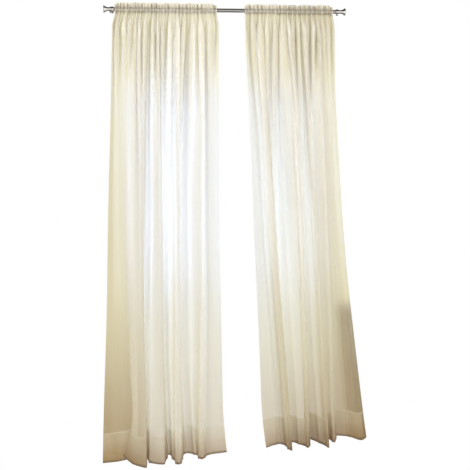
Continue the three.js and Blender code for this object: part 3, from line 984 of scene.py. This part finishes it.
OPENNESS = 2.42105  # how much wider the gaps are than plain waves of yarn would leave them
TRANSLUCENT = 0.5
THREAD_TONES = ((0.80, 0.74, 0.60, 1), (0.88, 0.83, 0.70, 1))


def voile_material():
    material, nodes, links = new_material("voile")
    uv = node(nodes, "ShaderNodeUVMap", uv_map="cloth")
    split = node(nodes, "ShaderNodeSeparateXYZ")
    links.new(uv.outputs[0], split.inputs[0])
    across, down = split.outputs[0], split.outputs[1]

    def computed(operation, a, b=0):
        return math_node(nodes, links, operation, a, b)

    tone = noise(nodes, links, uv.outputs[0], scale=7, detail=3)
    colour = blend(nodes, links, tone, IVORY, IVORY_SHADE)
    # Painted shade with a warm floor bounce, tan towards the bottom.
    low = ramp(nodes, links, down, *TAN_PAINTED_SHADE_BAND, highest=TAN_PAINTED_SHADE_SHARE)
    colour = blend(nodes, links, low, colour, TAN_PAINTED_SHADE)
    # Painted shade in the gathers' valleys, in the creases between folds and along the seam's dark line.
    colour = blend(nodes, links, layering(nodes, "painted_shade"), colour, PAINTED_SHADE_TONE)
    # A lighter tone where the cloth lies double, and as a painted highlight on the ruffle's crests and the
    # pocket's front.
    doubled_and_highlight = computed("MULTIPLY", layering(nodes, "doubled_and_highlight"), DOUBLED_AND_HIGHLIGHT_SHARE)
    colour = blend(nodes, links, doubled_and_highlight, colour, DOUBLED_AND_HIGHLIGHT_TONE)
    # Painted shade with a warm floor bounce, brown towards the hem's edge.
    from_edge = computed("ABSOLUTE", computed("SUBTRACT", down, EDGE_AT))
    hem_edge_painted_shade = computed("MULTIPLY", ramp(nodes, links, from_edge, *HEM_EDGE_PAINTED_SHADE_BAND), HEM_EDGE_PAINTED_SHADE)
    colour = blend(nodes, links, hem_edge_painted_shade, colour, HEM_EDGE_PAINTED_SHADE_TONE)

    def yarns(position):
        wave = computed("SINE", computed("MULTIPLY", position, 2 * math.pi / YARN_PITCH))
        return computed("MULTIPLY", computed("ADD", wave, 1), 0.5)

    weave = computed("MAXIMUM", yarns(across), yarns(down))
    slub = noise(nodes, links, stretched(nodes, links, uv.outputs[0], SLUB_STRETCH))
    cloth = node(nodes, "ShaderNodeBsdfPrincipled")
    links.new(colour, cloth.inputs["Base Color"])
    cloth.inputs["Roughness"].default_value = 0.8
    cloth.inputs["Specular IOR Level"].default_value = 0.25
    cloth.inputs["Sheen Weight"].default_value = 0.15
    cloth.inputs["Sheen Roughness"].default_value = 0.5
    links.new(relief(nodes, links, weave, strength=0.25, depth=0.1 * MM), cloth.inputs["Normal"])
    through_cloth = node(nodes, "ShaderNodeBsdfTranslucent")
    links.new(colour, through_cloth.inputs["Color"])
    body = pick(nodes, links, TRANSLUCENT, cloth.outputs[0], through_cloth.outputs[0])

    # Between the yarns the light goes straight through, less where the cloth is aslant or in layers.
    strength, least = SLUB_GAPS
    uneven = computed("ADD", computed("MULTIPLY", slub, strength), least)
    share = computed("MULTIPLY", computed("SUBTRACT", 1, weave), uneven)
    share = computed("MULTIPLY", share, OPENNESS)
    for name in ("turned", "closed"):
        share = computed("MULTIPLY", share, computed("SUBTRACT", 1, layering(nodes, name)))
    clear = node(nodes, "ShaderNodeBsdfTransparent")
    surface(nodes, links, pick(nodes, links, share, body, clear.outputs[0]))
    return material


def thread_material():
    material, nodes, links = new_material("thread")
    yarn = node(nodes, "ShaderNodeBsdfPrincipled")
    links.new(blend(nodes, links, noise(nodes, links, scale=900), *THREAD_TONES), yarn.inputs["Base Color"])
    yarn.inputs["Roughness"].default_value = 0.6
    surface(nodes, links, yarn.outputs[0])
    return material


GRAIN_STRETCH = (60, 2200, 2200)
GRAIN_SHADE = 0.82  # the darkest lines against the rest
GRAIN_ROUGHNESS = (-0.06, 0.1)  # the change from the smoothest to the roughest


def metal_material(name, colour, roughness):
    """Brushed metal: fine lines along the rod, in colour, roughness and relief."""
    material, nodes, links = new_material(name)
    place = node(nodes, "ShaderNodeTexCoord").outputs["Object"]
    grain = noise(nodes, links, stretched(nodes, links, place, GRAIN_STRETCH), detail=4)
    tone = blend(nodes, links, grain, (*(GRAIN_SHADE * c for c in colour), 1), (*colour, 1))
    rough = node(nodes, "ShaderNodeMapRange")
    links.new(grain, rough.inputs["Value"])
    for name, change in zip(("To Min", "To Max"), GRAIN_ROUGHNESS):
        rough.inputs[name].default_value = roughness + change
    metal = node(nodes, "ShaderNodeBsdfPrincipled")
    metal.inputs["Metallic"].default_value = 1
    links.new(tone, metal.inputs["Base Color"])
    links.new(rough.outputs[0], metal.inputs["Roughness"])
    links.new(relief(nodes, links, grain, strength=0.12, depth=0.05 * MM), metal.inputs["Normal"])
    surface(nodes, links, metal.outputs[0])
    return material


# ---- Camera, floor and light ----------------------------------------------------------------------------

CAMERA_PLACE = (-0.612, -3.428, -0.210)
CAMERA_TURN = 10.92  # degrees from straight at the wall towards +X
CAMERA_DIP = 13.12  # degrees below the horizon
CAMERA_LENS = 57.45


def make_camera():
    data = bpy.data.cameras.new("camera")
    data.lens = CAMERA_LENS
    camera = bpy.data.objects.new("camera", data)
    camera.location = CAMERA_PLACE
    camera.rotation_euler = (math.radians(90 - CAMERA_DIP), 0, -math.radians(CAMERA_TURN))
    bpy.context.collection.objects.link(camera)
    bpy.context.scene.camera = camera


# Soft lights stand for the window behind the panels and its sill, and for the room's light from the side and
# from above, in metres and watts.
LIGHT_COLUMNS = ("name", "place", "target", "size", "power", "colour")
LIGHTS = (
    ("window_left", (-0.24, 0.16, -0.72), (-0.24, -0.1, -0.72), (0.38, 1.05), 5.3, (0.45, 0.61, 1.00)),
    ("window_right", (0.37, 0.16, -0.76), (0.37, -0.1, -0.76), (0.36, 1.0), 3.8, (0.54, 0.70, 1.00)),
    ("sill_left", (-0.24, 0.18, -1.68), (-0.24, -0.1, -1.68), (0.34, 0.74), 1.8, (0.64, 0.83, 1.00)),
    ("sill_right", (0.34, 0.18, -1.55), (0.34, -0.1, -1.55), (0.34, 0.5), 0.69, (0.76, 1.00, 0.91)),
    ("side", (-1.7, -1.5, -0.5), (0.2, -0.1, -0.9), (1.0, 2.2), 6, (1.00, 0.97, 0.60)),
    ("top", (-0.2, -0.8, 0.7), (0, -0.1, -0.1), (1.3, 0.4), 16, (0.74, 0.83, 1.00)),
)
ROOM_COLOUR = (0.814, 0.746, 0.57, 1)
BACKDROP = (1, 1, 1, 1)
FLOOR_SIZE = 12
FLOOR_DROP = 0.05  # below the hem
FLOOR_COLOUR = (0.50, 0.42, 0.33, 1)  # of the light that comes back up from it

# What the metal mirrors: a studio that is bright in front, dark overhead and on the wall's side, and dimmer
# below. Each pair is where the change starts and ends, as a share of straight up or straight at the wall.
STUDIO_COLOUR = (1.0, 0.98, 0.95, 1)
STUDIO_STRENGTH = 1.15
STUDIO_DARK = 0.03
STUDIO_TOP = (0.64, 0.34)
STUDIO_FRONT = (0.1, -0.15)
STUDIO_LOW = (-0.7, -0.3)
STUDIO_FLOOR = 0.32

# What shows through the cloth, by the direction one looks in: a wall, a bright window, a floor and a darker
# corner on the right. SIDES are shares of straight along +X, and ENDS and the wall's foot of straight up.
WALL_TONE = (0.775, 0.707, 0.406, 1)
WALL_FOOT_TONE = (0.302, 0.176, 0.03, 1)
CORNER_TONE = (0.14, 0.065, 0.0, 1)
CORNER_SIDES = (0.302, 0.316)
CORNER_ENDS = (-0.30, -0.325)
WINDOW_TONE = (0.782, 0.777, 0.717, 1)
FLOOR_TONE = (0.692, 0.641, 0.559, 1)
WINDOW_SIDES = (0.03, 0.07, 0.27, 0.33)
WINDOW_ENDS = (-0.42, -0.28, -0.06, 0.0)
WALL_FOOT = (-0.27, -0.48)


def area_light(name, place, target, size, power, colour):
    data = bpy.data.lights.new(name, "AREA")
    data.shape = "RECTANGLE"
    data.size, data.size_y = size
    data.energy = power
    data.color = colour
    lamp = bpy.data.objects.new(name, data)
    lamp.location = place
    lamp.rotation_euler = (Vector(target) - Vector(place)).to_track_quat("-Z", "Y").to_euler()
    lamp.visible_camera = False
    lamp.visible_glossy = False
    bpy.context.collection.objects.link(lamp)


def background(nodes, links, colour, strength):
    made = node(nodes, "ShaderNodeBackground")
    feed(links, made.inputs, (colour, strength))
    return made.outputs[0]


def backdrop_seen(nodes, links, plain, through_cloth, mirrored, lit):
    """Each kind of ray gets its own shader: past the cloth, through it, mirrored in metal, or any other."""
    path = node(nodes, "ShaderNodeLightPath")
    layers_passed = math_node(nodes, links, "GREATER_THAN", path.outputs["Transparent Depth"], 0.5)
    seen = pick(nodes, links, layers_passed, plain, through_cloth)
    unseen = pick(nodes, links, path.outputs["Is Glossy Ray"], lit, mirrored)
    return pick(nodes, links, path.outputs["Is Camera Ray"], unseen, seen)


def make_world():
    world = bpy.data.worlds.new("studio")
    bpy.context.scene.world = world
    world.use_nodes = True
    nodes, links = world.node_tree.nodes, world.node_tree.links
    nodes.clear()
    place = node(nodes, "ShaderNodeTexCoord")
    split = node(nodes, "ShaderNodeSeparateXYZ")
    links.new(place.outputs["Generated"], split.inputs[0])
    across, up = split.outputs["X"], split.outputs["Z"]

    left_in, left_full, right_full, right_out = WINDOW_SIDES
    foot_in, foot_full, head_full, head_out = WINDOW_ENDS
    from_left = ramp(nodes, links, across, left_in, left_full)
    from_right = ramp(nodes, links, across, right_out, right_full)
    from_foot = ramp(nodes, links, up, foot_in, foot_full)
    from_head = ramp(nodes, links, up, head_out, head_full)
    between = math_node(nodes, links, "MULTIPLY", from_left, from_right)
    wall = blend(nodes, links, ramp(nodes, links, up, *WALL_FOOT), WALL_TONE, WALL_FOOT_TONE)
    window = blend(nodes, links, from_foot, FLOOR_TONE, WINDOW_TONE)
    below_head = blend(nodes, links, from_head, WALL_TONE, window)
    room_seen = blend(nodes, links, between, wall, below_head)
    corner_sides = ramp(nodes, links, across, *CORNER_SIDES)
    corner = math_node(nodes, links, "MULTIPLY", corner_sides, ramp(nodes, links, up, *CORNER_ENDS))
    seen_through = blend(nodes, links, corner, room_seen, CORNER_TONE)

    below_top = ramp(nodes, links, up, *STUDIO_TOP)
    in_front = ramp(nodes, links, split.outputs["Y"], *STUDIO_FRONT)
    lower = ramp(nodes, links, up, *STUDIO_LOW, lowest=STUDIO_FLOOR)
    upright = math_node(nodes, links, "MULTIPLY", below_top, lower)
    bright = math_node(nodes, links, "MULTIPLY", upright, in_front)
    level = math_node(nodes, links, "MAXIMUM", bright, STUDIO_DARK)
    strength = math_node(nodes, links, "MULTIPLY", level, STUDIO_STRENGTH)

    plain = background(nodes, links, BACKDROP, 1)
    behind = background(nodes, links, seen_through, 1)
    light = background(nodes, links, ROOM_COLOUR, 1)
    mirrored = background(nodes, links, STUDIO_COLOUR, strength)
    output = node(nodes, "ShaderNodeOutputWorld")
    links.new(backdrop_seen(nodes, links, plain, behind, mirrored, light), output.inputs[0])


def make_floor():
    bpy.ops.mesh.primitive_plane_add(size=FLOOR_SIZE, location=(0, 0, HEM_Z * MM - FLOOR_DROP))
    floor = bpy.context.object
    floor.name = "floor"
    material, nodes, links = new_material("floor")
    plain = node(nodes, "ShaderNodeEmission")
    plain.inputs["Color"].default_value = BACKDROP
    clear = node(nodes, "ShaderNodeBsdfTransparent")
    lit = node(nodes, "ShaderNodeBsdfPrincipled")
    lit.inputs["Base Color"].default_value = FLOOR_COLOUR
    lit.inputs["Roughness"].default_value = 0.9
    shaders = (plain.outputs[0], clear.outputs[0], clear.outputs[0], lit.outputs[0])
    surface(nodes, links, backdrop_seen(nodes, links, *shaders))
    floor.data.materials.append(material)


# ---- The object -----------------------------------------------------------------------------------------

make_camera()
make_world()
make_floor()
for lamp in named_rows(LIGHT_COLUMNS, LIGHTS):
    area_light(**lamp)

voile = voile_material()
thread = thread_material()
for panel in (LEFT_PANEL, RIGHT_PANEL):
    panel["pleats"] = pleats_of(panel)
    panel["valleys"] = valley_shades_of(panel)
    cloth = cloth_panel(panel, voile)
    stitches = stitching(panel, thread)

nickel = metal_material("nickel", colour=(0.52, 0.50, 0.48), roughness=0.26)
polished_nickel = metal_material("polished_nickel", colour=(0.88, 0.86, 0.84), roughness=0.12)
dark_nickel = metal_material("dark_nickel", colour=(0.20, 0.18, 0.16), roughness=0.30)
make_rod(nickel)
for side, end in ((-1, "left"), (1, "right")):
    make_finial(side, "finial_" + end, polished_nickel)
    make_bracket(side * BRACKET_X, "bracket_" + end, polished_nickel)
    make_set_screw(side * BRACKET_X, "set_screw_" + end, dark_nickel)

bpy.context.scene.view_settings.view_transform = "Standard"
